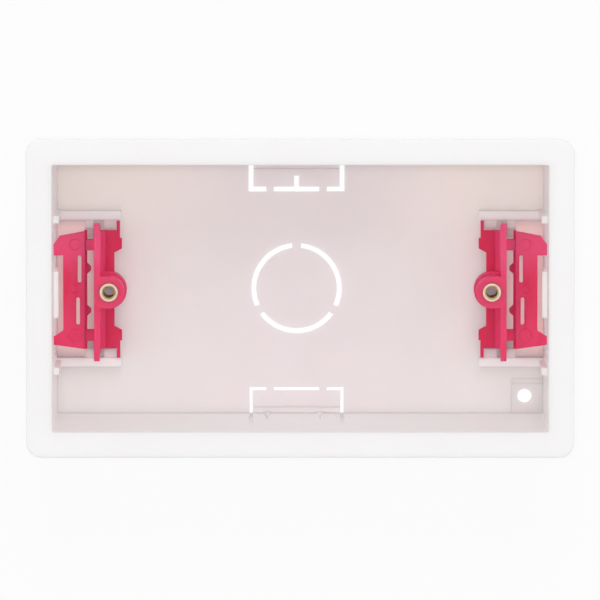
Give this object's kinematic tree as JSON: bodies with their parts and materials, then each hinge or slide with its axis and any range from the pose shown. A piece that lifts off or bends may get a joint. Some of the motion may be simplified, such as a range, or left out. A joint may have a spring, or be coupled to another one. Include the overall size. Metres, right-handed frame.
{
  "type": "drywall back box",
  "caption": "Rectangular flanged back box for plasterboard, open at the front, with knock-outs, end windows and two sliding side lugs that carry brass screw inserts.",
  "frame": {"origin": "middle of the back's outer face, on which the box rests", "axes": "+Z out of the open front, X along the long side with the left lug at -X, +Y towards the knock-out with the middle stem"},
  "size_m": [0.144, 0.084, 0.035],
  "materials": {
    "box_plastic": "moulded white plastic with a faint sheen, slightly see-through where thin",
    "lug_plastic": "moulded pink-red plastic, satin",
    "insert_brass": "turned brass, bright"
  },
  "bodies": {
    "box": {"back_box": "box_plastic"},
    "left_lug": {"left_lug": "lug_plastic", "left_insert": "insert_brass"},
    "right_lug": {"right_lug": "lug_plastic", "right_insert": "insert_brass"}
  },
  "joints": [
    {"name": "left_lug_slide", "type": "slide", "parent": "box", "child": "left_lug", "axis": [-1, 0, 0], "range_m": [0, 0.0096]},
    {"name": "right_lug_slide", "type": "slide", "parent": "box", "child": "right_lug", "axis": [1, 0, 0], "range_m": [0, 0.0096]}
  ]
}
